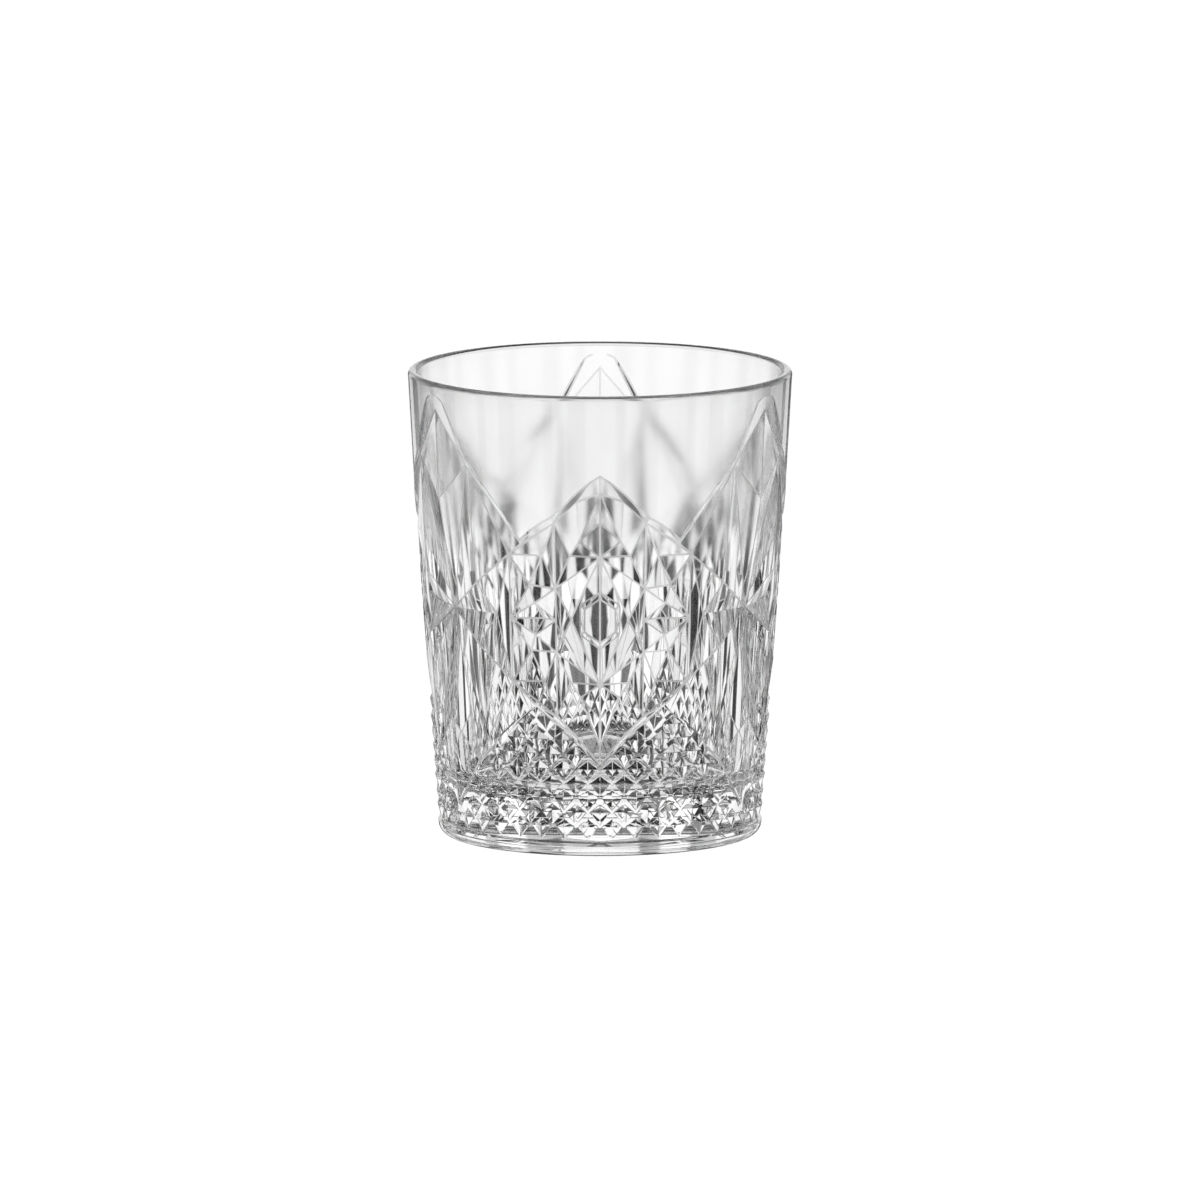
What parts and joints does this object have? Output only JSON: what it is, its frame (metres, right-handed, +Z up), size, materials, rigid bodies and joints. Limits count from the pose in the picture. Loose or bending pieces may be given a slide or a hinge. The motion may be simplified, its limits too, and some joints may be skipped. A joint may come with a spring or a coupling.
{
  "type": "whiskey tumbler",
  "caption": "Pressed-glass tumbler, slightly wider at the lip, with a faceted kite and spear pattern over a band of small diamonds, a thick floor and a flat foot ring.",
  "frame": {"origin": "centre of the foot ring, on the surface that the tumbler stands on", "axes": "+Z up along the tumbler's axis; -Y is the front, at the middle of one kite motif; +X is to its right"},
  "size_m": [0.0858, 0.0858, 0.1045],
  "materials": {
    "clear_glass": "clear, colourless, fire-polished"
  },
  "bodies": {
    "root": {"glass_body": "clear_glass"}
  },
  "joints": []
}
